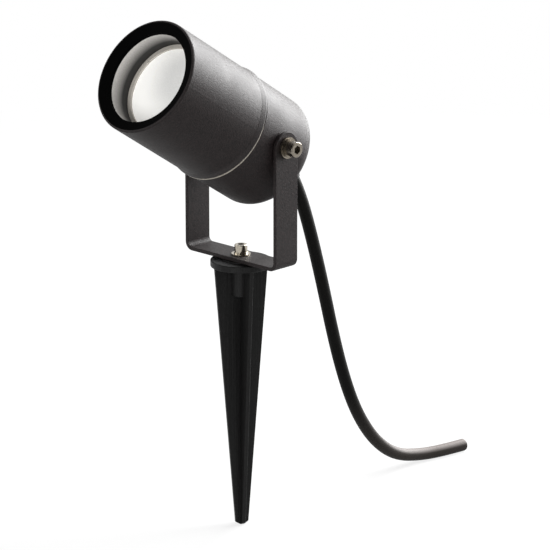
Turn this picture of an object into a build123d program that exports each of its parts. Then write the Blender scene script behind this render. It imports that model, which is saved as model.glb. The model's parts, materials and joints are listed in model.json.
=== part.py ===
"""Garden spike spotlight: a sealed aluminium lamp head, tilting in a U bracket that swivels on a ground spike.

Frame: the origin is the centre of the spike flange's underside, level with the soil. +Z is up, the lamp
faces -Y and the tilt axis lies along X. All sizes are in millimetres.

Head pieces are drawn on the head's own axis, with +Z running rearwards from the front plane and +Y
towards the underside, and then set into the bracket at the rest tilt.
"""
from build123d import *
import math
import os

# Fits
slide_gap = 0.05            # between faces that turn or slide on each other, and round a screw in its hole
slot_gap = 0.1              # round a piece that drops into a pocket

# Ground spike
spike_length = 178.0        # flange underside to tip
flange_radius = 20.0
flange_thickness = 4.3
flange_top_round = 0.7
flange_bottom_round = 0.6
pad_radius = 12.0           # raised disc that the bracket turns on
pad_height = 0.7
boss_radius = 7.2
boss_depth = 20.0
boss_round = 1.0
rib_reach_top = 18.65
rib_reach_tip = 4.5
rib_thickness = 2.4
rib_edge_round = 0.45
rib_turn = 67.0             # degrees from +X to the first rib
tip_rise = 1.8              # the blunt point: up at its corners by this much
tip_flat = 1.5              # half the width of its flat end
nut_level = 7.4             # flange underside down to the captive nut
nut_slot_turn = 112.0       # degrees from +X, between two ribs
screw_hole_depth = 18.0

# U bracket
arm_gap = 0.1               # between a spacer and the arm
strip_width = 20.0
strip_thickness = 2.5
outer_bend = 5.7
pivot_height = 81.0         # above the bracket's underside
strip_edge_round = 0.35

# Base screw, nut and washers (M5)
base_thread = 5.0
base_screw_length = 25.0
base_head_diameter = 8.5
base_head_height = 5.0
base_socket = 4.0
base_washer_diameter = 12.5
base_washer_thickness = 0.8
base_spring_diameter = 9.2
base_spring_thickness = 1.0
base_spring_turn = 200.0    # degrees from +X to the washer's slit
nut_width = 8.0
nut_thickness = 4.7

# Pivot screws and washers (M6)
pivot_thread = 6.0
pivot_screw_length = 16.0
pivot_head_diameter = 10.0
pivot_head_height = 6.0
pivot_socket = 5.0
pivot_washer_diameter = 14.0
pivot_washer_thickness = 1.6
pivot_spring_diameter = 11.8
pivot_spring_thickness = 1.6
spacer_diameter = 15.0
spacer_thickness = 0.6
spring_slit = 1.0
head_edge_round = 0.5

# Head
rest_tilt = 32.5            # degrees that the lamp looks up at rest
pivot_from_rear = 31.4
head_radius = 38.0

# Front sleeve
sleeve_length = 76.3
sleeve_wall = 3.0
bead_height = 1.03
bead_width = 1.0
bead_ramp = 3.7
bead_round = 0.45
front_edge_round = 1.35
ring_rim = 1.38             # width of the sleeve's own edge round the front ring
ring_depth = 3.0
lens_seat_reach = 5.5       # inward from the bore
lens_seat_thickness = 3.0

# Front ring and glare tube
ring_width = 4.85           # from the sleeve's bore in to the ring's mouth
ring_face_front = 0.15
ring_face_drop = 2.05       # the ring's face slopes inwards by this much
ring_neck_end = 5.0
tube_inset = 4.4            # from the sleeve's bore in to the tube's own bore
tube_wall = 1.6
tube_flange = 2.0

# Lens and its gasket
gasket_front = 21.6         # front plane to the gasket
gasket_lip = 1.6
gasket_front_width = 6.8    # the lip in front of the glass
gasket_rear_width = 6.3
gasket_skin = 0.85
glass_thickness = 3.6

# Rear housing
joint_gasket_thickness = 1.35
joint_gasket_proud = 0.4    # past the sleeve's own radius
housing_proud = 0.06
housing_draft = 0.36        # taken off the radius by the rear end
rear_edge_round = 10.9
rear_wall = 4.1
spigot_wall = 3.45
cavity_round = 5.0
spigot_length = 22.0
groove_from_shoulder = 4.9
groove_width = 2.4
groove_depth = 1.75
o_ring_section = 1.7
pivot_pad_radius = 8.5
pivot_boss_radius = 7.0
pivot_boss_depth = 14.0     # from the pad inwards
pivot_hole_depth = 11.5
column_radius = 4.0
boss_root = 1.0             # how far a boss runs on into the wall that carries it

# Cable gland and strain relief
gland_thread_radius = 8.0
gland_stem_inside = 1.6
gland_hex = 19.0
gland_flange = 3.5
gland_neck_radius = 7.0
gland_neck_length = 4.4
seal_radius = 6.0
seal_length = 6.0
cap_hex = 17.0
cap_hex_length = 4.3
cap_mouth_radius = 7.4
cap_length = 8.4
boot_inset = 2.9            # how far the strain relief starts inside the cap's mouth
boot_root_radius = 6.5
boot_tip_radius = 5.2
boot_straight = 3.0
boot_bend = 34.5
boot_turn = 28.2            # degrees
boot_steps = 4

# Mains cable
cable_radius = 4.3
cable_end_inside = 14.1     # rear face forward to the stripped sheath end
core_radius = 0.9
core_circle = 2.5
core_length = 8.7           # terminal block to the stripped sheath end
live_turn = 120.0           # degrees round the cable to each core
neutral_turn = 240.0
first_run = 13.0
cable_route = [             # after the exit and the first run
    (0.0, 63.9, 14.9),
    (0.0, 75.9, -23.2),
    (0.0, 89.9, -73.3),
    (0.0, 102.0, -107.0),
    (0.0, 114.5, -131.5),
    (0.0, 131.0, -152.5),
    (0.0, 152.0, -167.5),
    (0.8, 177.0, -173.4),
    (5.6, 198.0, -173.7),
    (7.4, 215.6, -173.7),
]

# Lamp and lamp holder
lamp_front = 33.0
lamp_radius = 25.0
lamp_length = 46.0
lamp_rim = 4.0
lamp_neck_radius = 15.5
lamp_neck_length = 13.0
diffuser_radius = 22.5
diffuser_thickness = 2.4
diffuser_round = 0.8
pin_spacing = 10.0
pin_stem_radius = 1.6
pin_stem_length = 4.0
pin_head_radius = 2.5
pin_head_length = 3.0
socket_room = 1.0           # behind the pins, in the holder
holder_width = 17.0
holder_length = 36.0
holder_height = 17.0
holder_round = 4.0
plate_width = 14.0
plate_end_gap = 1.5         # between the plate's ends and the housing's wall
plate_thickness = 1.2
plate_corner = 3.0
plate_screw_inset = 1.0     # inwards from the column's centre
plate_thread = 3.0
plate_screw_length = 8.0
plate_head_diameter = 5.5
plate_head_height = 2.4
plate_socket = 2.0

# Terminals
block_width = 16.0
block_length = 24.0
block_height = 12.0
block_corner = 1.0
clamp_thread = 2.4
clamp_head_diameter = 3.2
clamp_head_height = 1.0
clamp_depth = 5.0
clamp_spacing = 9.0
clamp_slot = 0.7
lead_radius = 1.0
lead_offset = 12.5
lead_bend = 2.6
lead_entry = 10.9           # holder's front face to where the leads go in
earth_offset = 17.0
earth_boss_radius = 4.0
earth_boss_height = 7.0
earth_thread = 4.0
earth_screw_length = 6.0
earth_head_diameter = 7.0
earth_head_height = 2.6
earth_socket = 2.5
tag_thickness = 0.8
tag_barrel = 4.5
tag_barrel_wall = 0.6
earth_core_drop = 4.0       # sheath end forward to where the earth core turns aside
earth_core_bend = 1.5

# Levels and places that follow from the sizes above
pad_top = flange_thickness + pad_height
bracket_bottom = pad_top + slide_gap
strip_top = bracket_bottom + strip_thickness
pivot_level = bracket_bottom + pivot_height
pad_reach = head_radius     # the tilt axis pads stand level with the sleeve
arm_inner = pad_reach + spacer_thickness + arm_gap
arm_outer = arm_inner + strip_thickness
bracket_width = 2 * arm_outer
pivot_boss_inner = pad_reach - pivot_boss_depth
pivot_hole_inner = pad_reach - pivot_hole_depth
sleeve_bore = head_radius - sleeve_wall
mouth_radius = sleeve_bore - ring_width
tube_radius = sleeve_bore - tube_inset
gasket_outside = sleeve_bore - slot_gap
gasket_front_reach = gasket_outside - gasket_front_width
gasket_rear_reach = gasket_outside - gasket_rear_width
joint_gasket_radius = head_radius + joint_gasket_proud
housing_radius = head_radius + housing_proud
glass_front = gasket_front + gasket_lip
glass_rear = glass_front + glass_thickness
lens_seat = glass_rear + gasket_lip
shoulder = sleeve_length + slide_gap + joint_gasket_thickness
spigot_radius = sleeve_bore - slide_gap
spigot_front = shoulder - spigot_length
cavity_radius = spigot_radius - spigot_wall
column_offset = cavity_radius - column_radius
plate_length = 2 * (cavity_radius - plate_end_gap)
plate_screw_offset = column_offset - plate_screw_inset
lamp_rear = lamp_front + lamp_length
holder_front = lamp_rear + slot_gap
plate_front = holder_front + holder_height
plate_rear = plate_front + plate_thickness
block_rear = plate_rear + block_height
sheath_end = block_rear + core_length
head_length = sheath_end + cable_end_inside
pivot_from_front = head_length - pivot_from_rear
cavity_rear = head_length - rear_wall
gland_face = head_length + gland_flange
cap_end = gland_face + slot_gap + cap_length
boot_start = cap_end - boot_inset
boot_bend_start = boot_start + boot_straight
in_head = Pos(0, 0, pivot_level) * Rot(-(90 + rest_tilt), 0, 0) * Pos(0, 0, -pivot_from_front)


def turned(*profile):
    """A solid of revolution about Z from (radius, height) points."""
    return revolve(Plane.XZ * make_face(Polyline(*profile, close=True)), Axis.Z)


def disc(radius, bottom, top):
    """A cylinder on Z between two levels."""
    return Pos(0, 0, bottom) * extrude(Circle(radius), top - bottom)


def ring(inner, outer, bottom, top):
    """A plain ring on Z between two levels."""
    return Pos(0, 0, bottom) * extrude(Circle(outer) - Circle(inner), top - bottom)


def hexagon(width, bottom, top):
    """A hexagonal prism on Z, by its width across flats."""
    outline = RegularPolygon(width / 2, 6, major_radius=False)
    return Pos(0, 0, bottom) * extrude(outline, top - bottom)


def circles(part, radius, level):
    """The circular edges of that radius, centred on Z at that level."""
    found = part.edges().filter_by(GeomType.CIRCLE)
    return found.filter_by(lambda e: abs(e.radius - radius) < 0.01 and abs(e.arc_center.Z - level) < 0.01)


def cap_screw(thread, length, head_diameter, head_height, socket):
    """A socket cap screw on Z: the underside of its head at 0, its head upwards."""
    body = disc(thread / 2, -length, 0) + disc(head_diameter / 2, 0, head_height)
    body = fillet(circles(body, head_diameter / 2, head_height), head_edge_round)
    return body - hexagon(socket, head_height / 2, head_height)


def spring_washer(thread, diameter, thickness):
    """A split lock washer, pressed flat, with its slit towards +X."""
    body = ring(thread / 2 + slot_gap, diameter / 2, 0, thickness)
    return body - Pos(diameter / 2, 0, 0) * Box(diameter, spring_slit, 4 * thickness)


def on_both_sides(part):
    """A piece drawn outwards along Z, set on the tilt axis outside each arm."""
    axis_height = Pos(0, 0, pivot_level)
    right = axis_height * Rot(0, 90, 0) * part
    left = axis_height * Rot(0, -90, 0) * part
    return Compound([right.solid(), left.solid()])


def ground_spike():
    """Moulded spike: a flange with a raised pad, a screw boss and four ribs in a cross down to a blunt tip."""
    flange = disc(flange_radius, 0, flange_thickness)
    flange = fillet(circles(flange, flange_radius, flange_thickness), flange_top_round)
    flange = fillet(circles(flange, flange_radius, 0), flange_bottom_round)
    boss = disc(boss_radius, -boss_depth, 0)
    boss = fillet(circles(boss, boss_radius, -boss_depth), boss_round)
    blade = Polyline(
        (-rib_reach_top, 0),
        (rib_reach_top, 0),
        (rib_reach_tip, tip_rise - spike_length),
        (tip_flat, -spike_length),
        (-tip_flat, -spike_length),
        (-rib_reach_tip, tip_rise - spike_length),
        close=True,
    )
    blade = extrude(Plane.XZ * make_face(blade), rib_thickness / 2, both=True)
    blade = fillet(blade.edges().filter_by(lambda e: e.length > spike_length / 2), rib_edge_round)
    body = flange + disc(pad_radius, flange_thickness, pad_top) + boss
    for turn in (rib_turn, rib_turn + 90):
        body += Rot(0, 0, turn) * blade
    body -= disc(base_thread / 2 + slot_gap, -screw_hole_depth, pad_top)
    slot_back = nut_width / 2 / math.cos(math.radians(30)) + slot_gap
    slot_reach = slot_back + flange_radius / 2
    slot_height = nut_thickness + 2 * slot_gap
    slot = Pos(slot_reach / 2 - slot_back, 0, 0) * Box(slot_reach, nut_width + 2 * slot_gap, slot_height)
    return body - Pos(0, 0, -nut_level - nut_thickness / 2) * Rot(0, 0, nut_slot_turn) * slot


def spike_nut():
    """M5 hexagon nut, slid into the boss from the side."""
    nut = hexagon(nut_width, -nut_thickness, 0) - disc(base_thread / 2 + slide_gap, -nut_thickness, 0)
    return Pos(0, 0, -nut_level) * Rot(0, 0, nut_slot_turn) * nut


def u_bracket():
    """Steel strip bent to a U, with round ears and three holes."""
    top = pivot_level + strip_width
    rise = top - bracket_bottom
    outer = Pos(0, bracket_bottom + rise / 2) * Rectangle(bracket_width, rise)
    outer = fillet(outer.vertices().group_by(Axis.Y)[0], outer_bend)
    inner = Pos(0, strip_top + rise / 2) * Rectangle(2 * arm_inner, rise)
    inner = fillet(inner.vertices().group_by(Axis.Y)[0], outer_bend - strip_thickness)
    strip = extrude(Plane.XZ * (outer - inner), strip_width / 2, both=True)
    side = Pos(0, (pivot_level + bracket_bottom) / 2) * Rectangle(strip_width, pivot_height)
    side += Pos(0, pivot_level) * Circle(strip_width / 2)
    strip &= extrude(Plane.YZ * side, bracket_width, both=True)
    strip = fillet(strip.edges().filter_by(lambda e: not on_strip_end(e)), strip_edge_round)
    strip -= disc(base_thread / 2 + slide_gap, 0, top)
    pivot_hole = Pos(0, 0, pivot_level) * Rot(0, 90, 0) * Cylinder(pivot_thread / 2 + slide_gap, bracket_width)
    return strip - pivot_hole


def on_strip_end(edge):
    """True for an edge that runs across the strip's width."""
    box = edge.bounding_box()
    return box.size.Y > strip_width - 0.01 and box.size.Z < 0.01


def base_stack():
    """Flat washer, spring washer and screw that clamp the bracket to the spike."""
    washer_bottom = strip_top + slide_gap
    spring_bottom = washer_bottom + base_washer_thickness
    head_bottom = spring_bottom + base_spring_thickness
    washer = ring(base_thread / 2 + slot_gap, base_washer_diameter / 2, washer_bottom, spring_bottom)
    spring = spring_washer(base_thread, base_spring_diameter, base_spring_thickness)
    screw = cap_screw(base_thread, base_screw_length, base_head_diameter, base_head_height, base_socket)
    return washer, Pos(0, 0, spring_bottom) * Rot(0, 0, base_spring_turn) * spring, Pos(0, 0, head_bottom) * screw


def pivot_stack():
    """Spacers inside the arms, and the washers and screws outside them, one of each on both sides."""
    washer_bottom = arm_outer + slide_gap
    spring_bottom = washer_bottom + pivot_washer_thickness
    head_bottom = spring_bottom + pivot_spring_thickness
    spacer = ring(pivot_thread / 2 + slot_gap, spacer_diameter / 2, pad_reach, pad_reach + spacer_thickness)
    washer = ring(pivot_thread / 2 + slot_gap, pivot_washer_diameter / 2, washer_bottom, spring_bottom)
    spring = Pos(0, 0, spring_bottom) * spring_washer(pivot_thread, pivot_spring_diameter, pivot_spring_thickness)
    screw = cap_screw(pivot_thread, pivot_screw_length, pivot_head_diameter, pivot_head_height, pivot_socket)
    return [on_both_sides(piece) for piece in (spacer, washer, spring, Pos(0, 0, head_bottom) * screw)]


def front_sleeve():
    """Turned aluminium sleeve: a ring seat in front, a lens seat inside and a rolled bead at its rear edge."""
    bead_radius = head_radius + bead_height
    bead_front = sleeve_length - bead_width
    rim = head_radius - ring_rim
    seat = sleeve_bore - lens_seat_reach
    body = turned(
        (rim, 0),
        (head_radius, 0),
        (head_radius, bead_front - bead_ramp),
        (bead_radius, bead_front),
        (bead_radius, sleeve_length),
        (sleeve_bore, sleeve_length),
        (sleeve_bore, lens_seat + lens_seat_thickness),
        (seat, lens_seat + lens_seat_thickness),
        (seat, lens_seat),
        (sleeve_bore, lens_seat),
        (sleeve_bore, ring_depth),
        (rim, ring_depth),
    )
    body = fillet(circles(body, head_radius, 0), front_edge_round)
    return fillet(circles(body, bead_radius, bead_front) + circles(body, bead_radius, sleeve_length), bead_round)


def front_ring():
    """Black ring set into the sleeve's mouth, its face sloping in towards the lens."""
    edge = head_radius - ring_rim - slide_gap
    neck = sleeve_bore - slide_gap
    return turned(
        (edge, ring_face_front),
        (edge, ring_depth - slide_gap),
        (neck, ring_depth - slide_gap),
        (neck, ring_neck_end),
        (mouth_radius, ring_neck_end),
        (mouth_radius, ring_face_front + ring_face_drop),
    )


def glare_tube():
    """Thin tube behind the ring, which presses the lens gasket back on its seat."""
    outside = tube_radius + tube_wall
    flange = sleeve_bore - slot_gap
    return turned(
        (tube_radius, ring_neck_end),
        (flange, ring_neck_end),
        (flange, ring_neck_end + tube_wall),
        (outside, ring_neck_end + tube_wall),
        (outside, gasket_front - tube_flange),
        (flange, gasket_front - tube_flange),
        (flange, gasket_front),
        (tube_radius, gasket_front),
    )


def lens_gasket():
    """Silicone U ring that wraps the glass's edge."""
    groove = gasket_outside - gasket_skin
    return turned(
        (gasket_front_reach, gasket_front),
        (gasket_outside, gasket_front),
        (gasket_outside, lens_seat),
        (gasket_rear_reach, lens_seat),
        (gasket_rear_reach, glass_rear),
        (groove, glass_rear),
        (groove, glass_front),
        (gasket_front_reach, glass_front),
    )


def lens_glass():
    """Round frosted glass."""
    return disc(gasket_outside - gasket_skin - slide_gap, glass_front, glass_rear)


def rear_housing():
    """Cast cup: a spigot for the sleeve, a shoulder, a rounded rear, tilt pads and bosses inside."""
    groove_rear = shoulder - groove_from_shoulder
    groove_front = groove_rear - groove_width
    groove_floor = spigot_radius - groove_depth
    rear_radius = housing_radius - housing_draft
    body = turned(
        (0, spigot_front),
        (spigot_radius, spigot_front),
        (spigot_radius, groove_front),
        (groove_floor, groove_front),
        (groove_floor, groove_rear),
        (spigot_radius, groove_rear),
        (spigot_radius, shoulder),
        (housing_radius, shoulder),
        (rear_radius, head_length),
        (0, head_length),
    )
    body = fillet(circles(body, rear_radius, head_length), rear_edge_round)
    pad = Cylinder(pivot_pad_radius, 2 * pad_reach)
    body += Pos(0, 0, pivot_from_front) * Rot(0, 90, 0) * pad
    cavity = disc(cavity_radius, spigot_front, cavity_rear)
    cavity = fillet(circles(cavity, cavity_radius, cavity_rear), cavity_round)
    for side in (1, -1):
        boss_length = cavity_radius - pivot_boss_inner + boss_root
        boss = Cylinder(pivot_boss_radius, boss_length)
        cavity -= Pos(side * (pivot_boss_inner + boss_length / 2), 0, pivot_from_front) * Rot(0, 90, 0) * boss
        cavity -= Pos(0, side * column_offset, 0) * disc(column_radius, plate_rear, cavity_rear)
    cavity -= Pos(earth_offset, 0, 0) * disc(earth_boss_radius, cavity_rear - earth_boss_height, cavity_rear)
    body -= cavity
    for side in (1, -1):
        hole_length = pad_reach - pivot_hole_inner
        hole = Cylinder(pivot_thread / 2 + slide_gap, hole_length)
        body -= Pos(side * (pivot_hole_inner + hole_length / 2), 0, pivot_from_front) * Rot(0, 90, 0) * hole
        plate_hole = disc(plate_thread / 2 + slide_gap, plate_rear, plate_rear + plate_screw_length)
        body -= Pos(0, side * plate_screw_offset, 0) * plate_hole
    earth_top = cavity_rear - earth_boss_height
    earth_hole = disc(earth_thread / 2 + slide_gap, earth_top, earth_top + earth_screw_length)
    body -= Pos(earth_offset, 0, 0) * earth_hole
    return body - disc(gland_thread_radius, cavity_rear, head_length)


def housing_o_ring():
    """O-ring in the spigot's groove."""
    centre = spigot_radius - groove_depth + slide_gap + o_ring_section / 2
    level = shoulder - groove_from_shoulder - groove_width / 2
    return Pos(0, 0, level) * Torus(centre, o_ring_section / 2)


def joint_gasket():
    """Flat silicone gasket that shows as a pale line between sleeve and housing."""
    return ring(spigot_radius + slide_gap, joint_gasket_radius, shoulder - joint_gasket_thickness, shoulder)


def gland_body():
    """Hexagon flange on the rear wall, a threaded stem through it and a neck for the cap."""
    stem_front = cavity_rear - gland_stem_inside
    neck_end = gland_face + gland_neck_length
    body = disc(gland_thread_radius - slide_gap, stem_front, head_length)
    body += hexagon(gland_hex, head_length, gland_face)
    body += disc(gland_neck_radius, gland_face, neck_end)
    body -= disc(cable_radius + slot_gap, stem_front, neck_end)
    return body - disc(seal_radius + slide_gap, neck_end - seal_length, neck_end)


def gland_seal():
    """Rubber bush that the cap squeezes on the cable."""
    neck_end = gland_face + gland_neck_length
    return ring(cable_radius + slide_gap, seal_radius, neck_end - seal_length, neck_end)


def gland_cap():
    """Domed cap nut with a hexagon grip."""
    bottom = gland_face + slot_gap
    neck_end = gland_face + gland_neck_length + slot_gap
    dome = turned(
        (0, bottom),
        (cap_hex / 2, bottom),
        (cap_hex / 2, bottom + cap_hex_length),
        (cap_mouth_radius, cap_end),
        (0, cap_end),
    )
    body = dome + hexagon(cap_hex, bottom, bottom + cap_hex_length)
    body -= disc(gland_neck_radius + slide_gap, bottom, neck_end)
    return body - disc(boot_root_radius + slide_gap, neck_end, cap_end)


def boot_plane(share):
    """A plane square to the strain relief's bend, from its start (0) to its end (1)."""
    turn = math.radians(boot_turn) * share
    centre = (0, boot_bend * (1 - math.cos(turn)), boot_bend_start + boot_bend * math.sin(turn))
    return Plane(origin=centre, x_dir=(1, 0, 0), z_dir=(0, math.sin(turn), math.cos(turn)))


def head_cable_path(start):
    """Centreline of the cable from inside the head to the strain relief's end."""
    bend = CenterArc((boot_bend, boot_bend_start), boot_bend, 180, -boot_turn)
    upright = Plane(origin=(0, 0, 0), x_dir=(0, 1, 0), z_dir=(1, 0, 0))
    return upright * (Line((0, start), (0, boot_bend_start)) + bend)


def strain_relief():
    """Tapered rubber boot that starts in the cap and bends down with the cable."""
    shares = [step / boot_steps for step in range(boot_steps + 1)]
    taper = boot_tip_radius - boot_root_radius
    rings = [boot_plane(share) * Circle(boot_root_radius + taper * share) for share in shares]
    boot = loft(rings) + disc(boot_root_radius, boot_start, boot_bend_start)
    path = head_cable_path(boot_start)
    return boot - sweep(Pos(0, 0, boot_start) * Circle(cable_radius + slide_gap), path)


def cable_held_end():
    """The end of the cable that the gland grips, from its stripped end to the strain relief's end."""
    return sweep(Pos(0, 0, sheath_end) * Circle(cable_radius), head_cable_path(sheath_end))


def cable_points():
    """Route of the free cable: straight out of the strain relief, down, and along the ground."""
    exit_plane = Plane(in_head * boot_plane(1).location)
    exit_point = exit_plane.origin
    return [exit_point, exit_point + exit_plane.z_dir * first_run] + [Vector(*p) for p in cable_route]


def mains_cable():
    """The free cable: straight runs joined by arcs as large as the runs allow."""
    points = cable_points()
    runs = [b - a for a, b in zip(points, points[1:])]
    turns = [a.get_angle(b) for a, b in zip(runs, runs[1:])]
    shorter = [min(a.length, b.length) for a, b in zip(runs, runs[1:])]
    radii = [0.45 * run / math.tan(math.radians(turn / 2)) for run, turn in zip(shorter, turns)]
    path = FilletPolyline(*points, radius=radii)
    start = Plane(origin=points[0], z_dir=runs[0])
    cable = sweep(start * Circle(cable_radius), path)
    plain_volume = math.pi * cable_radius ** 2 * path.length
    print("cable radii mm:", [round(radius) for radius in radii])
    print(f"cable length {path.length:.1f} mm, volume over section times length {cable.volume / plain_volume:.4f}")
    return cable


def core_place(turn):
    """Where a core leaves the stripped sheath."""
    return core_circle * math.cos(math.radians(turn)), core_circle * math.sin(math.radians(turn))


def straight_core(turn):
    """A core from the sheath to the terminal block."""
    return Pos(*core_place(turn), 0) * disc(core_radius, block_rear, sheath_end)


def tube_along(points, bend, radius):
    """A round wire through a few points, with one bend radius."""
    path = FilletPolyline(*points, radius=bend)
    start = Plane(origin=points[0], z_dir=Vector(*points[1]) - Vector(*points[0]))
    return sweep(start * Circle(radius), path)


def earth_wire():
    """Earth core, from the sheath round to the tag's barrel."""
    x, y = core_place(0)
    barrel_end = earth_offset - earth_boss_radius - tag_barrel
    wire_level = cavity_rear - earth_boss_height - tag_thickness / 2
    drop_x = barrel_end - earth_core_bend
    drop_level = sheath_end - earth_core_drop
    points = [
        (x, y, sheath_end),
        (x, y, drop_level),
        (drop_x, y, drop_level),
        (drop_x, y, wire_level),
        (barrel_end, y, wire_level),
    ]
    return tube_along(points, 0.95 * earth_core_bend, core_radius)


def earth_tag():
    """Crimped ring tag under the earth screw."""
    top = cavity_rear - earth_boss_height
    bottom = top - tag_thickness
    eye = Pos(earth_offset, 0, 0) * disc(earth_boss_radius, bottom, top)
    barrel_length = tag_barrel + boss_root
    barrel = Pos(earth_offset - earth_boss_radius - tag_barrel + barrel_length / 2, 0, (top + bottom) / 2)
    tag = eye + barrel * Box(barrel_length, 2 * (core_radius + tag_barrel_wall), tag_thickness)
    return tag - Pos(earth_offset, 0, 0) * disc(earth_thread / 2 + slot_gap, bottom, top)


def earth_screw():
    """M4 screw through the tag into the housing's earth boss, its head towards the lamp."""
    screw = cap_screw(earth_thread, earth_screw_length, earth_head_diameter, earth_head_height, earth_socket)
    under_head = cavity_rear - earth_boss_height - tag_thickness
    return Pos(earth_offset, 0, under_head) * Rot(180, 0, 0) * screw


def terminal_block():
    """Two-way block on the back of the holder plate, drilled for its wires and clamp screws."""
    body = Pos(0, 0, plate_rear + block_height / 2) * Box(block_width, block_length, block_height)
    body = fillet(body.edges().filter_by(Axis.Z), block_corner)
    for place in clamp_places():
        body -= place * disc(clamp_thread / 2 + slide_gap, -clamp_depth, 0)
    return body


def clamp_places():
    """Where the clamp screws sit, two on each end face of the block."""
    level = (plate_rear + block_rear) / 2
    ends = [Pos(0, block_length / 2, level) * Rot(-90, 0, 0), Pos(0, -block_length / 2, level) * Rot(90, 0, 0)]
    return [end * Pos(side * clamp_spacing / 2, 0, 0) for end in ends for side in (1, -1)]


def terminal_screws():
    """Four slotted clamp screws."""
    screw = disc(clamp_thread / 2, -clamp_depth, 0) + disc(clamp_head_diameter / 2, 0, clamp_head_height)
    screw -= Pos(0, 0, clamp_head_height) * Box(clamp_head_diameter, clamp_slot, clamp_head_height)
    return Compound([(place * screw).solid() for place in clamp_places()])


def lamp_leads():
    """Two heat-proof leads, from the block round the plate's edges to the lamp holder."""
    block_level = (plate_rear + block_rear) / 2
    entry_level = holder_front + lead_entry
    leads = []
    for side in (1, -1):
        points = [
            (side * block_width / 2, 0, block_level),
            (side * lead_offset, 0, block_level),
            (side * lead_offset, 0, entry_level),
            (side * holder_width / 2, 0, entry_level),
        ]
        leads.append(tube_along(points, lead_bend, lead_radius).solid())
    return Compound(leads)


def holder_plate():
    """Steel strip across the housing that carries the lamp holder and the terminal block."""
    outline = RectangleRounded(plate_width, plate_length, plate_corner)
    body = Pos(0, 0, plate_front) * extrude(outline, plate_thickness)
    for side in (1, -1):
        hole = disc(plate_thread / 2 + slot_gap, plate_front, plate_rear)
        body -= Pos(0, side * plate_screw_offset, 0) * hole
    return body


def holder_screws():
    """Two M3 screws, heads towards the lamp."""
    screw = cap_screw(plate_thread, plate_screw_length, plate_head_diameter, plate_head_height, plate_socket)
    places = [Pos(0, side * plate_screw_offset, plate_front) * Rot(180, 0, 0) for side in (1, -1)]
    return Compound([(place * screw).solid() for place in places])


def lamp_holder():
    """Ceramic twist-lock holder with two pin sockets."""
    outline = RectangleRounded(holder_width, holder_length, holder_round)
    body = Pos(0, 0, holder_front) * extrude(outline, holder_height)
    depth = pin_stem_length + pin_head_length + socket_room
    for side in (1, -1):
        socket = disc(pin_head_radius + slot_gap, holder_front, holder_front + depth)
        body -= Pos(0, side * pin_spacing / 2, 0) * socket
    return body


def lamp_body():
    """Twist-lock reflector lamp's moulded body."""
    recess = diffuser_radius + slide_gap
    floor = lamp_front + diffuser_thickness + slot_gap
    return turned(
        (0, floor),
        (recess, floor),
        (recess, lamp_front),
        (lamp_radius, lamp_front),
        (lamp_radius, lamp_front + lamp_rim),
        (lamp_neck_radius, lamp_rear - lamp_neck_length),
        (lamp_neck_radius, lamp_rear),
        (0, lamp_rear),
    )


def lamp_diffuser():
    """Milky cover of the lamp."""
    bottom = lamp_front + slot_gap
    cover = disc(diffuser_radius, bottom, bottom + diffuser_thickness)
    return fillet(circles(cover, diffuser_radius, bottom), diffuser_round)


def lamp_pins():
    """Two headed contact pins."""
    stem_end = lamp_rear + pin_stem_length
    pin = disc(pin_stem_radius, lamp_rear, stem_end)
    pin += disc(pin_head_radius, stem_end, stem_end + pin_head_length)
    return Compound([(Pos(0, side * pin_spacing / 2, 0) * pin).solid() for side in (1, -1)])


def head_pieces():
    """Every piece drawn on the head's own axis."""
    return {
        "front_sleeve": front_sleeve(),
        "front_ring": front_ring(),
        "glare_tube": glare_tube(),
        "lens_gasket": lens_gasket(),
        "lens_glass": lens_glass(),
        "rear_housing": rear_housing(),
        "housing_o_ring": housing_o_ring(),
        "joint_gasket": joint_gasket(),
        "gland_body": gland_body(),
        "gland_seal": gland_seal(),
        "gland_cap": gland_cap(),
        "strain_relief": strain_relief(),
        "cable_held_end": cable_held_end(),
        "live_wire": straight_core(live_turn),
        "neutral_wire": straight_core(neutral_turn),
        "earth_wire": earth_wire(),
        "earth_tag": earth_tag(),
        "earth_screw": earth_screw(),
        "terminal_block": terminal_block(),
        "terminal_screws": terminal_screws(),
        "lamp_leads": lamp_leads(),
        "holder_plate": holder_plate(),
        "holder_screws": holder_screws(),
        "lamp_holder": lamp_holder(),
        "lamp_body": lamp_body(),
        "lamp_diffuser": lamp_diffuser(),
        "lamp_pins": lamp_pins(),
    }


pieces = {name: in_head * piece for name, piece in head_pieces().items()}
pieces["ground_spike"] = ground_spike()
pieces["spike_nut"] = spike_nut()
pieces["u_bracket"] = u_bracket()
pieces["base_washer"], pieces["base_spring_washer"], pieces["base_screw"] = base_stack()
pivot_names = ("pivot_spacers", "pivot_washers", "pivot_spring_washers", "pivot_screws")
pieces.update(zip(pivot_names, pivot_stack()))
pieces["mains_cable"] = mains_cable()

os.makedirs("parts", exist_ok=True)
for name, piece in pieces.items():
    export_step(piece, f"parts/{name}.step")
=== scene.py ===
"""Looks of the garden spike spotlight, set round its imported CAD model. In metres, in the CAD model's frame."""
import bmesh
import bpy
import json
import math
from mathutils import Matrix, Vector


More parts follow.
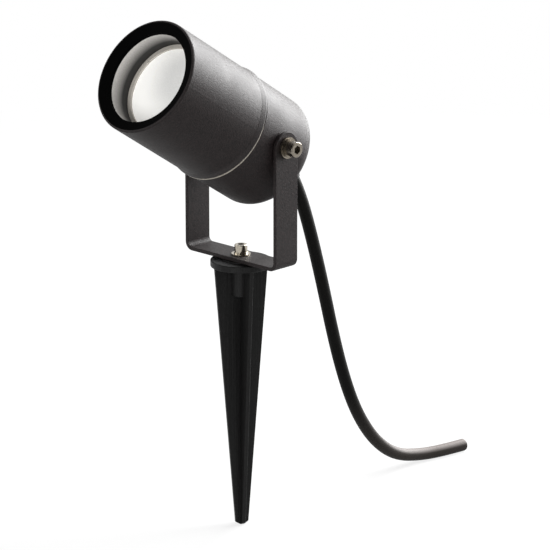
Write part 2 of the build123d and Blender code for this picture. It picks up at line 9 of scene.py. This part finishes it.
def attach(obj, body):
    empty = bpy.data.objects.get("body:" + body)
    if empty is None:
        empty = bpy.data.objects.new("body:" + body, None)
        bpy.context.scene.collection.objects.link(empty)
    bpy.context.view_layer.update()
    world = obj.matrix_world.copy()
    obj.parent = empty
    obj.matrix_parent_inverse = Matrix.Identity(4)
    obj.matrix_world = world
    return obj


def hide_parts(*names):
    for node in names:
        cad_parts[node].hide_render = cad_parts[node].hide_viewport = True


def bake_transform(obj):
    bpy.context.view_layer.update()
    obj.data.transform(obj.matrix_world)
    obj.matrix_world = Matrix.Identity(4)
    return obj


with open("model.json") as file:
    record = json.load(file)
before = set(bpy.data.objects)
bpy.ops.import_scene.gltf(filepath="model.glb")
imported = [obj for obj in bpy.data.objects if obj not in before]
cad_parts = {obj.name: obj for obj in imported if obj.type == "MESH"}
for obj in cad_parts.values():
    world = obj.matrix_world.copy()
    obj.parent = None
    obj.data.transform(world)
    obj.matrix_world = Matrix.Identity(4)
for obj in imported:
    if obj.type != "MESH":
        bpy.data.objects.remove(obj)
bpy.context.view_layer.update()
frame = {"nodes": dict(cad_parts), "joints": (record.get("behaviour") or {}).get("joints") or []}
nodes = frame["nodes"]

# Camera. A long lens at the lamp's front left, a little above it, as the photograph was taken. Its place and its
# focal length were fitted to the lamp's edges in the photograph.
view_azimuth = math.radians(44.01)
view_elevation = math.radians(16.06)
view_distance = 2.3393
view_centre = Vector((0.01803, 0.01315, -0.00567))
focal_length = 235.6        # millimetres
view_reach = 20
towards_camera = Vector((
    math.sin(view_azimuth) * math.cos(view_elevation),
    -math.cos(view_azimuth) * math.cos(view_elevation),
    math.sin(view_elevation),
))
camera = bpy.data.objects.new("camera", bpy.data.cameras.new("camera"))
camera.data.lens = focal_length
camera.data.clip_end = view_reach
camera.location = view_centre + view_distance * towards_camera
camera.rotation_euler = towards_camera.to_track_quat("Z", "Y").to_euler()
bpy.context.scene.collection.objects.link(camera)
bpy.context.scene.camera = camera
bpy.context.scene.view_settings.view_transform = "Standard"

# White sweep. Paper curved up all round the lamp. Camera, glossy and transmitted rays see it at full white, and
# it lights the lamp evenly at a plain level.
sweep_light = 0.4


def linear(hex_colour):
    """An sRGB hex colour as linear red, green, blue and alpha."""
    parts = [int(hex_colour[i:i + 2], 16) / 255 for i in (1, 3, 5)]
    return [p / 12.92 if p <= 0.04045 else ((p + 0.055) / 1.055) ** 2.4 for p in parts] + [1]


def cleared(owner):
    """The node tree of a material or a world, emptied."""
    owner.use_nodes = True
    owner.node_tree.nodes.clear()
    return owner.node_tree


def add(tree, kind, inputs, **settings):
    """Adds a node with its settings. Each input is a value, or another node's output to link."""
    node = tree.nodes.new(kind)
    for name, value in settings.items():
        setattr(node, name, value)
    for name, value in inputs.items():
        if isinstance(value, bpy.types.NodeSocket):
            tree.links.new(value, node.inputs[name])
        else:
            node.inputs[name].default_value = value
    return node


def seen_white(tree):
    """1 for the rays that see the studio as plain white, and 0 for those that light the lamp."""
    rays = add(tree, "ShaderNodeLightPath", {})
    direct = add(tree, "ShaderNodeMath", {0: rays.outputs["Is Camera Ray"], 1: rays.outputs["Is Glossy Ray"]},
                 operation="MAXIMUM")
    every = add(tree, "ShaderNodeMath", {0: direct.outputs[0], 1: rays.outputs["Is Transmission Ray"]},
                operation="MAXIMUM")
    return every.outputs[0]


world = bpy.data.worlds.new("white_sweep")
tree = cleared(world)
level = add(tree, "ShaderNodeMapRange", {"Value": seen_white(tree), "To Min": sweep_light, "To Max": 1.0})
sky = add(tree, "ShaderNodeBackground", {"Color": linear("#ffffff"), "Strength": level.outputs[0]})
add(tree, "ShaderNodeOutputWorld", {"Surface": sky.outputs[0]})
bpy.context.scene.world = world

# Floor. A sheet of pale matt card that the spike's tip and the cable's end stand on, so that it takes their
# shadow. Further off it turns as white as the sweep, and no horizon shows.
floor_level = -0.178
floor_reach = 6
shadow_reach = 0.4          # from the lamp to where the card starts to turn white
white_reach = 1.2           # from the lamp to where it is all white
plain_share = 0.8           # of plain white near the lamp; the rest is card, which takes the shadow


def new_piece(name, shape):
    """A new object of that name from a finished bmesh, linked to the scene."""
    piece = bpy.data.objects.new(name, bpy.data.meshes.new(name))
    shape.to_mesh(piece.data)
    bpy.context.scene.collection.objects.link(piece)
    return piece


sheet = bmesh.new()
bmesh.ops.create_grid(sheet, x_segments=1, y_segments=1, size=floor_reach)
bmesh.ops.translate(sheet, verts=sheet.verts, vec=(0, 0, floor_level))
floor = new_piece("floor", sheet)
card = bpy.data.materials.new("white_card")
tree = cleared(card)
place = add(tree, "ShaderNodeTexCoord", {})
away = add(tree, "ShaderNodeVectorMath", {0: place.outputs["Object"]}, operation="LENGTH")
whiter = add(tree, "ShaderNodeMapRange", {"Value": away.outputs["Value"], "From Min": shadow_reach,
             "From Max": white_reach, "To Min": plain_share, "To Max": 1.0})
share = add(tree, "ShaderNodeMath", {0: seen_white(tree), 1: whiter.outputs[0]}, operation="MULTIPLY")
matt = add(tree, "ShaderNodeBsdfDiffuse", {"Color": linear("#b4b4b4")})
white = add(tree, "ShaderNodeEmission", {"Color": linear("#ffffff"), "Strength": 1.0})
mixed = add(tree, "ShaderNodeMixShader", {0: share.outputs[0], 1: matt.outputs[0], 2: white.outputs[0]})
add(tree, "ShaderNodeOutputMaterial", {"Surface": mixed.outputs[0]})
floor.data.materials.append(card)

# Black card. It stands between the camera and the lamp, to the right of the view, and only reflections see it.
# It is the dark side of the studio, which draws the dark bands on bright steel.
black_azimuth = math.radians(66)
black_distance = 0.75
black_half_width = 0.85
black_direction = Vector((math.sin(black_azimuth), -math.cos(black_azimuth), 0))
upright = black_direction.to_track_quat("Z", "Y").to_matrix().to_4x4()
stand = Matrix.Translation(black_distance * black_direction + Vector((0, 0, floor_level + black_half_width)))
sheet = bmesh.new()
bmesh.ops.create_grid(sheet, x_segments=1, y_segments=1, size=black_half_width)
bmesh.ops.transform(sheet, matrix=stand @ upright, verts=sheet.verts)
flag = new_piece("black_card", sheet)
flag.visible_camera = False
flag.visible_diffuse = False
flag.visible_shadow = False
felt = bpy.data.materials.new("black_felt")
tree = cleared(felt)
dull = add(tree, "ShaderNodeBsdfDiffuse", {"Color": linear("#202020")})
add(tree, "ShaderNodeOutputMaterial", {"Surface": dull.outputs[0]})
flag.data.materials.append(felt)

# Softboxes. A large one behind and above, which makes the long pale light on the barrel, and three weak ones
# that lift the two sides and the front. All face the middle of the lamp.
lamp_middle = Vector((0, 0, 0.08))
for lamp_name, place, width, watts in (
    ("softbox_behind", (0.18, 1.3, 0.68), 1.4, 132),
    ("softbox_right", (1.3, -0.45, 0.55), 0.7, 7),
    ("softbox_left", (-1.2, -1.1, 0.3), 0.8, 6),
    ("softbox_front", (0.7, -1.6, 0.2), 0.6, 16),
):
    softbox = bpy.data.objects.new(lamp_name, bpy.data.lights.new(lamp_name, "AREA"))
    softbox.data.shape = "SQUARE"
    softbox.data.size = width
    softbox.data.energy = watts
    softbox.location = place
    softbox.rotation_euler = (Vector(place) - lamp_middle).to_track_quat("Z", "Y").to_euler()
    bpy.context.scene.collection.objects.link(softbox)

# Supply cable. Black round 3-core rubber cable, extruded, that leaves the strain relief, hangs behind the
# bracket and lies along the ground to its cut end, where the knife has left the sheath's edge slightly rounded.
cable_diameter = 0.0086
cut_rounding = 0.0013
touching = 0.000001         # points nearer than this become one
cable_route = [
    (0, 0.048237, 0.050464),
    (0, 0.054599, 0.039127),
    (0, 0.0639, 0.0149),
    (0, 0.0759, -0.0232),
    (0, 0.0899, -0.0733),
    (0, 0.1020, -0.1070),
    (0, 0.1145, -0.1315),
    (0, 0.1310, -0.1525),
    (0, 0.1520, -0.1675),
    (0.0008, 0.1770, -0.1734),
    (0.0056, 0.1980, -0.1737),
    (0.0074, 0.2156, -0.1737),
]
line = bpy.data.curves.new("cable_line", "CURVE")
line.dimensions = "3D"
line.resolution_u = 12
spline = line.splines.new("NURBS")
spline.points.add(len(cable_route) - 1)
for point, place in zip(spline.points, cable_route):
    point.co = (*place, 1)
spline.order_u = 3
spline.use_endpoint_u = True
line_object = bpy.data.objects.new("cable_line", line)
bpy.context.scene.collection.objects.link(line_object)
bpy.context.view_layer.update()
cable_path = [tuple(v.co) for v in bpy.data.meshes.new_from_object(line_object).vertices]
line.bevel_depth = cable_diameter / 2
line.bevel_resolution = 10
bpy.context.view_layer.update()
cable = bpy.data.objects.new("supply_cable", bpy.data.meshes.new_from_object(line_object))
bpy.data.objects.remove(line_object)
bpy.context.scene.collection.objects.link(cable)
sheath = bmesh.new()
sheath.from_mesh(cable.data)
bmesh.ops.remove_doubles(sheath, verts=sheath.verts, dist=touching)
ends = bmesh.ops.edgeloop_fill(sheath, edges=[e for e in sheath.edges if e.is_boundary])["faces"]
cut_face = max(ends, key=lambda f: f.calc_center_median().y)
bmesh.ops.bevel(sheath, geom=cut_face.edges[:], offset=cut_rounding, segments=4, profile=0.5, affect="EDGES",
                material=-1)
bmesh.ops.recalc_face_normals(sheath, faces=sheath.faces)
for face in sheath.faces:
    face.smooth = len(face.verts) < 5       # all but the two ends, which stay flat
sheath.to_mesh(cable.data)


def new_finish(name, **sockets):
    """A material with one principled shader whose sockets are set as given."""
    material = bpy.data.materials.new(name)
    tree = cleared(material)
    values = {socket.replace("_", " "): value for socket, value in sockets.items()}
    shader = add(tree, "ShaderNodeBsdfPrincipled", values)
    add(tree, "ShaderNodeOutputMaterial", {"Surface": shader.outputs[0]})
    return material, tree, shader


def speckle(tree, shader, grain, dark, light, relief, smooth, rough):
    """Grain of that size: its colour from dark to light, its relief, and a roughness that drifts more slowly."""
    drift = 20 * grain
    place = add(tree, "ShaderNodeTexCoord", {}).outputs["Object"]
    noise = add(tree, "ShaderNodeTexNoise", {"Vector": place, "Scale": 1 / grain, "Detail": 3.0})
    cloud = add(tree, "ShaderNodeTexNoise", {"Vector": place, "Scale": 1 / drift, "Detail": 2.0})
    colour = add(tree, "ShaderNodeMapRange", {"Value": noise.outputs[0], "From Min": 0.35, "From Max": 0.75})
    mixed = add(tree, "ShaderNodeMix", {0: colour.outputs[0], 6: linear(dark), 7: linear(light)},
                data_type="RGBA")
    sheen = add(tree, "ShaderNodeMapRange", {"Value": cloud.outputs[0], "To Min": smooth, "To Max": rough})
    bump = add(tree, "ShaderNodeBump", {"Strength": 1.0, "Distance": relief, "Height": noise.outputs[0]})
    tree.links.new(mixed.outputs[2], shader.inputs["Base Color"])
    tree.links.new(sheen.outputs[0], shader.inputs["Roughness"])
    tree.links.new(bump.outputs[0], shader.inputs["Normal"])


def give(material, *names):
    """Puts a material on CAD nodes."""
    for name in names:
        for slot in nodes[name].material_slots:
            slot.material = material


# The rubber is smooth and slightly waxy off the extruder, with faint handling marks, so it has a soft line of
# light. Near the ground its colour turns lighter, and there its upward-facing side gets a painted highlight.
lighter_start = -0.11         # heights between which its colour turns lighter
lighter_full = -0.165
painted_highlight_start = 0.3            # how squarely a face must look up for the painted highlight, where 1 is level
painted_highlight_full = 0.95
rubber, tree, shader = new_finish("extruded_rubber", Specular_IOR_Level=0.06)
speckle(tree, shader, grain=0.0012, dark="#040403", light="#090807", relief=0.000012, smooth=0.42, rough=0.56)
clean = shader.inputs["Base Color"].links[0].from_socket
place = add(tree, "ShaderNodeTexCoord", {})
height = add(tree, "ShaderNodeSeparateXYZ", {0: place.outputs["Object"]})
ground = add(tree, "ShaderNodeMapRange", {"Value": height.outputs["Z"], "From Min": lighter_start,
             "From Max": lighter_full})
lighter_near_ground = add(tree, "ShaderNodeMix", {0: ground.outputs[0], 6: clean, 7: linear("#1f1c1a")}, data_type="RGBA")
facing = add(tree, "ShaderNodeSeparateXYZ", {0: place.outputs["Normal"]})
upper_side = add(tree, "ShaderNodeMapRange", {"Value": facing.outputs["Z"], "From Min": painted_highlight_start,
                 "From Max": painted_highlight_full})
painted_highlight_mask = add(tree, "ShaderNodeMath", {0: ground.outputs[0], 1: upper_side.outputs[0]}, operation="MULTIPLY")
# painted highlight: near the ground, the faces that look up are painted pale
with_painted_highlight = add(tree, "ShaderNodeMix", {0: painted_highlight_mask.outputs[0], 6: lighter_near_ground.outputs[2], 7: linear("#5e5957")},
            data_type="RGBA")
tree.links.new(with_painted_highlight.outputs[2], shader.inputs["Base Color"])
cable.data.materials.append(rubber)
give(rubber, "mains_cable", "cable_held_end")
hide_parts("mains_cable")
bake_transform(cable)

# Cut cores. Three copper cores in coloured PVC, cut off with the cable, whose ends stand just proud of the
# sheath. They show as small discs, dull where the knife went through the PVC, with a bright metal centre.
core_radius = 0.00135
core_proud = 0.0001         # of the sheath's cut face
strand_radius = 0.00065
strand_proud = 0.0002
core_off_centre = 0.0021
core_depth = 0.0012
core_rounding = 0.00008
cut_centre = Vector(cable_route[-1])
cut_direction = (cut_centre - Vector(cable_route[-2])).normalized()
cut_turn = cut_direction.to_track_quat("Z", "X").to_matrix().to_4x4()
cut_end = Matrix.Translation(cut_centre) @ cut_turn
cut_grain = {"grain": 0.0004, "relief": 0.00001, "smooth": 0.35, "rough": 0.5}
copper, tree, shader = new_finish("cut_copper_strands", Metallic=1.0)
speckle(tree, shader, dark="#b4663a", light="#d08a55", **cut_grain)
for core_name, turn, slot, pvc_name, dark, light in (
    ("cut_core_brown", 90, "brown_insulation", "cut_brown_pvc", "#4a2412", "#6b3a20"),
    ("cut_core_blue", 210, "blue_insulation", "cut_blue_pvc", "#15508f", "#2468ad"),
    ("cut_core_earth", 330, "earth_insulation", "cut_striped_pvc", "#2f7a2a", "#c9b51e"),
):
    pvc, tree, shader = new_finish(pvc_name)
    speckle(tree, shader, dark=dark, light=light, **cut_grain)
    around = math.radians(turn)
    for part_name, radius, proud, finish, metal in (
        (core_name, core_radius, core_proud, pvc, False),
        (core_name + "_copper", strand_radius, strand_proud, copper, True),
    ):
        disc = bmesh.new()
        bmesh.ops.create_cone(disc, cap_ends=True, segments=24, radius1=radius, radius2=radius,
                              depth=core_depth)
        rim = [e for e in disc.edges if all(v.co.z > 0 for v in e.verts)]
        bmesh.ops.bevel(disc, geom=rim, offset=core_rounding, segments=2, profile=0.5, affect="EDGES",
                        material=-1)
        offset = Vector((core_off_centre * math.cos(around), core_off_centre * math.sin(around),
                         proud - core_depth / 2))
        bmesh.ops.transform(disc, matrix=cut_end @ Matrix.Translation(offset), verts=disc.verts)
        core = new_piece(part_name, disc)
        core.data.materials.append(finish)
        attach(core, "bracket")

# Ground spike. One moulding in black polypropylene: flange, screw boss and four tapering ribs. The mould leaves
# a satin skin with long faint flow lines down the ribs, so its flat sides are never quite even.
flow_width = 0.0016         # between one flow line and the next
flow_stretch = 0.02         # how fast the lines change along the spike, where 1 is as fast as across it
flow_relief = 0.0003        # deeper than the real lines, so that they show
polypropylene, tree, shader = new_finish("moulded_polypropylene", Specular_IOR_Level=0.12)
speckle(tree, shader, grain=0.0011, dark="#0c0c0c", light="#151515", relief=0.00003, smooth=0.38, rough=0.52)
place = add(tree, "ShaderNodeTexCoord", {})
drawn = add(tree, "ShaderNodeMapping", {"Vector": place.outputs["Object"], "Scale": (1, 1, flow_stretch)})
flow = add(tree, "ShaderNodeTexNoise", {"Vector": drawn.outputs[0], "Scale": 1 / flow_width, "Detail": 2.0})
flow_lines = add(tree, "ShaderNodeBump", {"Strength": 1.0, "Distance": flow_relief, "Height": flow.outputs[0],
                 "Normal": shader.inputs["Normal"].links[0].from_socket})
tree.links.new(flow_lines.outputs[0], shader.inputs["Normal"])
give(polypropylene, "ground_spike")

# Base screw with its washers, and the captive nut. A2 stainless steel, turned and pressed, then washed: bright
# and hard, with fine turning rings that stretch each light into a band.
wave_unit = 0.314           # a wave texture repeats every 0.314 metres divided by its scale
ring_pitch = 0.0004         # the real rings are near 0.1 mm apart; drawn coarser so that they show
ring_relief = 0.000006


def turned(tree, shader, centre, direction):
    """Turning marks: fine rings round an axis through the centre."""
    place = add(tree, "ShaderNodeTexCoord", {})
    middle = add(tree, "ShaderNodeMapping", {"Vector": place.outputs["Object"], "Location": centre},
                 vector_type="TEXTURE")
    rings = add(tree, "ShaderNodeTexWave", {"Vector": middle.outputs[0], "Scale": wave_unit / ring_pitch,
                "Distortion": 0.4}, wave_type="RINGS", rings_direction=direction)
    marks = add(tree, "ShaderNodeBump", {"Strength": 1.0, "Distance": ring_relief, "Height": rings.outputs[0],
                "Normal": shader.inputs["Normal"].links[0].from_socket})
    tree.links.new(marks.outputs[0], shader.inputs["Normal"])


bright_steel, tree, shader = new_finish("bright_stainless_steel", Metallic=1.0)
speckle(tree, shader, grain=0.0009, dark="#a39c8f", light="#bdb6a8", relief=0.000003, smooth=0.08, rough=0.16)
turned(tree, shader, (0, 0, 0), "Z")
give(bright_steel, "base_screw", "base_spring_washer", "base_washer", "spike_nut")

# Screws and washers at the tilt axis. The same steel as the base screw, duller from handling, with its turning
# rings round the tilt axis. The small screws and the plate inside the head are of this steel too.
dull_steel, tree, shader = new_finish("dull_stainless_steel", Metallic=1.0)
speckle(tree, shader, grain=0.0009, dark="#736c62", light="#968f84", relief=0.000006, smooth=0.18, rough=0.32)
tilt_axis = next(joint["pos_m"] for joint in frame["joints"] if joint["name"] == "head_tilt")
turned(tree, shader, tilt_axis, "X")
give(dull_steel, "pivot_screws", "pivot_spring_washers", "pivot_washers", "earth_screw", "holder_screws",
     "holder_plate")

# U bracket. Steel strip, bent and drilled, with a sand-textured polyester powder coat baked on: near black,
# grainy and matt, so it goes pale only at grazing light.
coat_grain = 0.0008         # the real sand is near 0.4 mm; drawn coarser so that it shows
coat_shine = 0.15
sand = {"grain": coat_grain, "dark": "#080606", "light": "#221b1b", "relief": 0.00016, "smooth": 0.48,
        "rough": 0.6}
coat, tree, shader = new_finish("sand_textured_powder_coat", Specular_IOR_Level=coat_shine)
speckle(tree, shader, **sand)
give(coat, "u_bracket")

# Rear housing. A cup cast in aluminium, with a spigot in front for the sleeve, held between the bracket's arms
# by the two tilt screws. It has the bracket's powder coat.
give(coat, "rear_housing")

# Front sleeve. An aluminium tube, turned, under the same coat. Hands grip it by the bead at its rear to screw it
# off, so the coat is rubbed a little shinier there.
head_front = Vector((0, -0.08493, 0.14016))
head_rise = 32.5                            # degrees above level, as packed
head_turn = -math.radians(90 + head_rise)   # about X, to run Z rearwards along the head
bead_start = 0.0708                         # behind the front plane, as every depth on the head is
bead_full = 0.0733
bead_shine = 0.27


def head_place(tree):
    """Coordinates on the head's own axis: 0 at the middle of its front plane, Z running rearwards."""
    place = add(tree, "ShaderNodeTexCoord", {})
    settings = {"Vector": place.outputs["Object"], "Location": head_front, "Rotation": (head_turn, 0, 0)}
    return add(tree, "ShaderNodeMapping", settings, vector_type="TEXTURE").outputs[0]


gripped, tree, shader = new_finish("gripped_powder_coat")
speckle(tree, shader, **sand)
along = add(tree, "ShaderNodeSeparateXYZ", {0: head_place(tree)})
rubbed = add(tree, "ShaderNodeMapRange", {"Value": along.outputs["Z"], "From Min": bead_start,
             "From Max": bead_full, "To Min": coat_shine, "To Max": bead_shine},
             interpolation_type="SMOOTHSTEP")
tree.links.new(rubbed.outputs[0], shader.inputs["Specular IOR Level"])
give(gripped, "front_sleeve")

# Front ring. Aluminium, turned, set into the sleeve's mouth and painted dead matt black against glare, so it
# stays black where the rest of the lamp goes pale.
matt_black, tree, shader = new_finish("matt_black_paint", Specular_IOR_Level=0.02)
speckle(tree, shader, grain=coat_grain, dark="#010101", light="#030303", relief=0.00002, smooth=0.75,
        rough=0.85)
give(matt_black, "front_ring")

# Glare tube. Spun aluminium, behind the ring, that presses the lens gasket back on its seat. Its grey paint is
# matt and pale behind the ring; deeper in the bore it is painted darker, nearly black by the lens, as painted
# shade.
painted_shade_start = 0.006          # the depth down to which it is palest, before the painted shade begins
painted_shade_full = 0.0165         # and from which the painted shade is darkest
tube_paint, tree, shader = new_finish("grey_paint_painted_shade", Specular_IOR_Level=0.3)
speckle(tree, shader, grain=coat_grain, dark="#b4b1ad", light="#c9c6c2", relief=0.00004, smooth=0.5,
        rough=0.65)
pale = shader.inputs["Base Color"].links[0].from_socket
depth = add(tree, "ShaderNodeSeparateXYZ", {0: head_place(tree)})
painted_shade_ramp = add(tree, "ShaderNodeMapRange", {"Value": depth.outputs["Z"], "From Min": painted_shade_start,
            "From Max": painted_shade_full})
# painted shade: the wall is painted darker towards the lens, where the bore is deep
with_painted_shade = add(tree, "ShaderNodeMix", {0: painted_shade_ramp.outputs[0], 6: pale, 7: linear("#262524")}, data_type="RGBA")
tree.links.new(with_painted_shade.outputs[2], shader.inputs["Base Color"])
give(tube_paint, "glare_tube")

# Lens. Round soda-lime glass, acid-etched on one face, so it looks like milk. It is given a painted glow, an
# emission that stands in for light on the frosted glass, stronger towards its rim.
painted_glow_middle = Vector((0.007, -0.009, 0))    # where the painted glow is least, above the lens's middle and to one side
painted_glow_start = 0.008
painted_glow_full = 0.032
painted_glow_strength = 0.38
etched, tree, shader = new_finish("acid_etched_glass_painted_glow", Specular_IOR_Level=0.5)
speckle(tree, shader, grain=0.0008, dark="#dadad8", light="#e4e4e2", relief=0.00001, smooth=0.5, rough=0.6)
across = add(tree, "ShaderNodeMapping", {"Vector": head_place(tree), "Location": -painted_glow_middle,
             "Scale": (1, 1, 0)})
reach = add(tree, "ShaderNodeVectorMath", {0: across.outputs[0]}, operation="LENGTH")
painted_rim_glow = add(tree, "ShaderNodeMapRange", {"Value": reach.outputs["Value"], "From Min": painted_glow_start,
               "From Max": painted_glow_full, "To Min": 0.0, "To Max": painted_glow_strength},
               interpolation_type="SMOOTHSTEP")
# painted light: the glass emits, though the lamp in it is not lit
shader.inputs["Emission Color"].default_value = linear("#fffdf8")
tree.links.new(painted_rim_glow.outputs[0], shader.inputs["Emission Strength"])
give(etched, "lens_glass")

# Lens gasket. A ring of moulded silicone that wraps the glass's edge and seals it on its seat in the sleeve:
# warm grey, slightly glossy, and pale beside the dark end of the glare tube.
silicone, tree, shader = new_finish("moulded_silicone", Specular_IOR_Level=0.5)
speckle(tree, shader, grain=0.0008, dark="#a8a39b", light="#bab5ad", relief=0.00001, smooth=0.4, rough=0.55)
give(silicone, "lens_gasket")

# Gasket between sleeve and housing. A flat silicone ring, cut from sheet, that the sleeve squeezes as it screws
# home. It has sunk a little in its groove, so it stands proud under the barrel and hides in the groove on top.
# Cut silicone is greyer and darker than moulded.
sink = 0.001
trim = 0.0004               # off the ring's outside
ring_rounding = 0.0003
head_frame = Matrix.Translation(head_front) @ Matrix.Rotation(head_turn, 4, "X")
on_head = head_frame.inverted()
ring_places = [on_head @ v.co for v in nodes["joint_gasket"].data.vertices]
ring_front = min(place.z for place in ring_places)
ring_rear = max(place.z for place in ring_places)
ring_inside = min(place.xy.length for place in ring_places) + sink
ring_outside = max(place.xy.length for place in ring_places) - trim
ring = bmesh.new()
corners = [ring.verts.new((radius, 0, depth)) for radius, depth in (
    (ring_inside, ring_front),
    (ring_outside, ring_front),
    (ring_outside, ring_rear),
    (ring_inside, ring_rear),
)]
ring.faces.new(corners)
bmesh.ops.bevel(ring, geom=corners, offset=ring_rounding, segments=3, profile=0.5, affect="VERTICES",
                material=-1)
bmesh.ops.delete(ring, geom=ring.faces[:], context="FACES_ONLY")
bmesh.ops.spin(ring, geom=ring.edges[:], cent=(0, 0, 0), axis=(0, 0, 1), angle=2 * math.pi, steps=144,
               use_merge=True)
bmesh.ops.remove_doubles(ring, verts=ring.verts, dist=touching)
bmesh.ops.recalc_face_normals(ring, faces=ring.faces)
bmesh.ops.transform(ring, matrix=head_frame @ Matrix.Translation((0, sink, 0)), verts=ring.verts)
squeezed_ring = new_piece("squeezed_gasket", ring)
cut_silicone, tree, shader = new_finish("cut_silicone_sheet", Specular_IOR_Level=0.4)
speckle(tree, shader, grain=0.0008, dark="#706b62", light="#878177", relief=0.00001, smooth=0.4, rough=0.55)
squeezed_ring.data.materials.append(cut_silicone)
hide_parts("joint_gasket")
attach(squeezed_ring, "head")

# Spacers on the tilt axis and the two halves of the cable gland. Black nylon, from moulds that were
# spark-eroded, which gives it a fine even grain and a satin face. The gland screws into the housing.
nylon, tree, shader = new_finish("moulded_nylon", Specular_IOR_Level=0.4)
speckle(tree, shader, grain=0.0007, dark="#101010", light="#1b1b1b", relief=0.00003, smooth=0.42, rough=0.55)
give(nylon, "gland_body", "gland_cap", "pivot_spacers")

# Strain relief, gland bush and O-ring. Soft rubber, moulded, and squeezed in place by the gland's cap or by the
# sleeve. It is duller than the cable and a little paler.
soft_rubber, tree, shader = new_finish("moulded_soft_rubber", Specular_IOR_Level=0.3)
speckle(tree, shader, grain=0.0009, dark="#0d0c0c", light="#181717", relief=0.00002, smooth=0.5, rough=0.65)
give(soft_rubber, "strain_relief", "gland_seal", "housing_o_ring")

# Live, neutral and earth cores. Copper strands in PVC insulation of the usual colours, glossy from the extruder.
# The first two are clamped in the terminal block; the earth core is striped and crimped in its tag.
for core_name, finish_name, dark, light in (
    ("live_wire", "brown_pvc", "#4a2412", "#5f3119"),
    ("neutral_wire", "blue_pvc", "#134a86", "#1f5fa3"),
):
    pvc, tree, shader = new_finish(finish_name, Specular_IOR_Level=0.5)
    speckle(tree, shader, grain=0.0006, dark=dark, light=light, relief=0.000005, smooth=0.25, rough=0.38)
    give(pvc, core_name)
stripe_pitch = 0.004486     # one stripe of each colour
striped, tree, shader = new_finish("striped_pvc", Specular_IOR_Level=0.5, Roughness=0.3)
stripe = add(tree, "ShaderNodeTexWave", {"Vector": head_place(tree), "Scale": wave_unit / stripe_pitch},
             bands_direction="Y")
two_tone = add(tree, "ShaderNodeValToRGB", {0: stripe.outputs[0]})
two_tone.color_ramp.interpolation = "CONSTANT"
two_tone.color_ramp.elements[0].color = linear("#2b7a2b")
two_tone.color_ramp.elements[1].color = linear("#d6bd1c")
two_tone.color_ramp.elements[1].position = 0.5
tree.links.new(two_tone.outputs[0], shader.inputs["Base Color"])
give(striped, "earth_wire")

# Lamp leads. Two heat-proof leads from the terminal block to the lamp holder, in a glass-fibre braid over
# silicone: off-white and dull, with the braid's fine weave.
braid_pitch = 0.000785      # between one thread and the next
braid_relief = 0.00008
braid, tree, shader = new_finish("glass_fibre_braid", Base_Color=linear("#d8d3c6"), Roughness=0.8)
weave = add(tree, "ShaderNodeTexWave", {"Vector": head_place(tree), "Scale": wave_unit / braid_pitch,
            "Distortion": 1.5}, bands_direction="DIAGONAL")
thread = add(tree, "ShaderNodeBump", {"Strength": 1.0, "Distance": braid_relief, "Height": weave.outputs[0]})
tree.links.new(thread.outputs[0], shader.inputs["Normal"])
give(braid, "lamp_leads")

# Earth tag, clamp screws and lamp pins. Brass, the tag stamped from sheet and the rest turned from rod, and left
# bare. It is a little tarnished, so its yellow is uneven.
brass, tree, shader = new_finish("turned_brass", Metallic=1.0)
speckle(tree, shader, grain=0.0012, dark="#a8843c", light="#d2b068", relief=0.000008, smooth=0.22, rough=0.4)
give(brass, "earth_tag", "terminal_screws", "lamp_pins")

# Lamp holder. Steatite ceramic, pressed and fired but unglazed, and screwed to the steel plate across the
# housing: chalky white with a fine tooth.
steatite, tree, shader = new_finish("unglazed_steatite", Specular_IOR_Level=0.4)
speckle(tree, shader, grain=0.0005, dark="#dcd7cb", light="#ebe7dd", relief=0.00004, smooth=0.7, rough=0.85)
give(steatite, "lamp_holder")

# Terminal block. A two-way block moulded in natural nylon, on the back of that plate, with a clamp screw for
# each wire's end. It is milky white and satin.
natural_nylon, tree, shader = new_finish("natural_nylon", Specular_IOR_Level=0.5)
speckle(tree, shader, grain=0.0008, dark="#dad8d0", light="#e6e4dd", relief=0.00001, smooth=0.35, rough=0.5)
give(natural_nylon, "terminal_block")

# Lamp. A reflector lamp, twisted into its holder: a glossy white body moulded in polyester, with a milky
# polycarbonate cover that spreads its light.
lamp_white, tree, shader = new_finish("white_moulded_polyester", Specular_IOR_Level=0.5)
speckle(tree, shader, grain=0.001, dark="#dededc", light="#eaeae8", relief=0.00001, smooth=0.28, rough=0.4)
give(lamp_white, "lamp_body")
opal, tree, shader = new_finish("opal_polycarbonate", Specular_IOR_Level=0.5)
speckle(tree, shader, grain=0.001, dark="#ecebe4", light="#f5f4ee", relief=0.00001, smooth=0.2, rough=0.32)
give(opal, "lamp_diffuser")
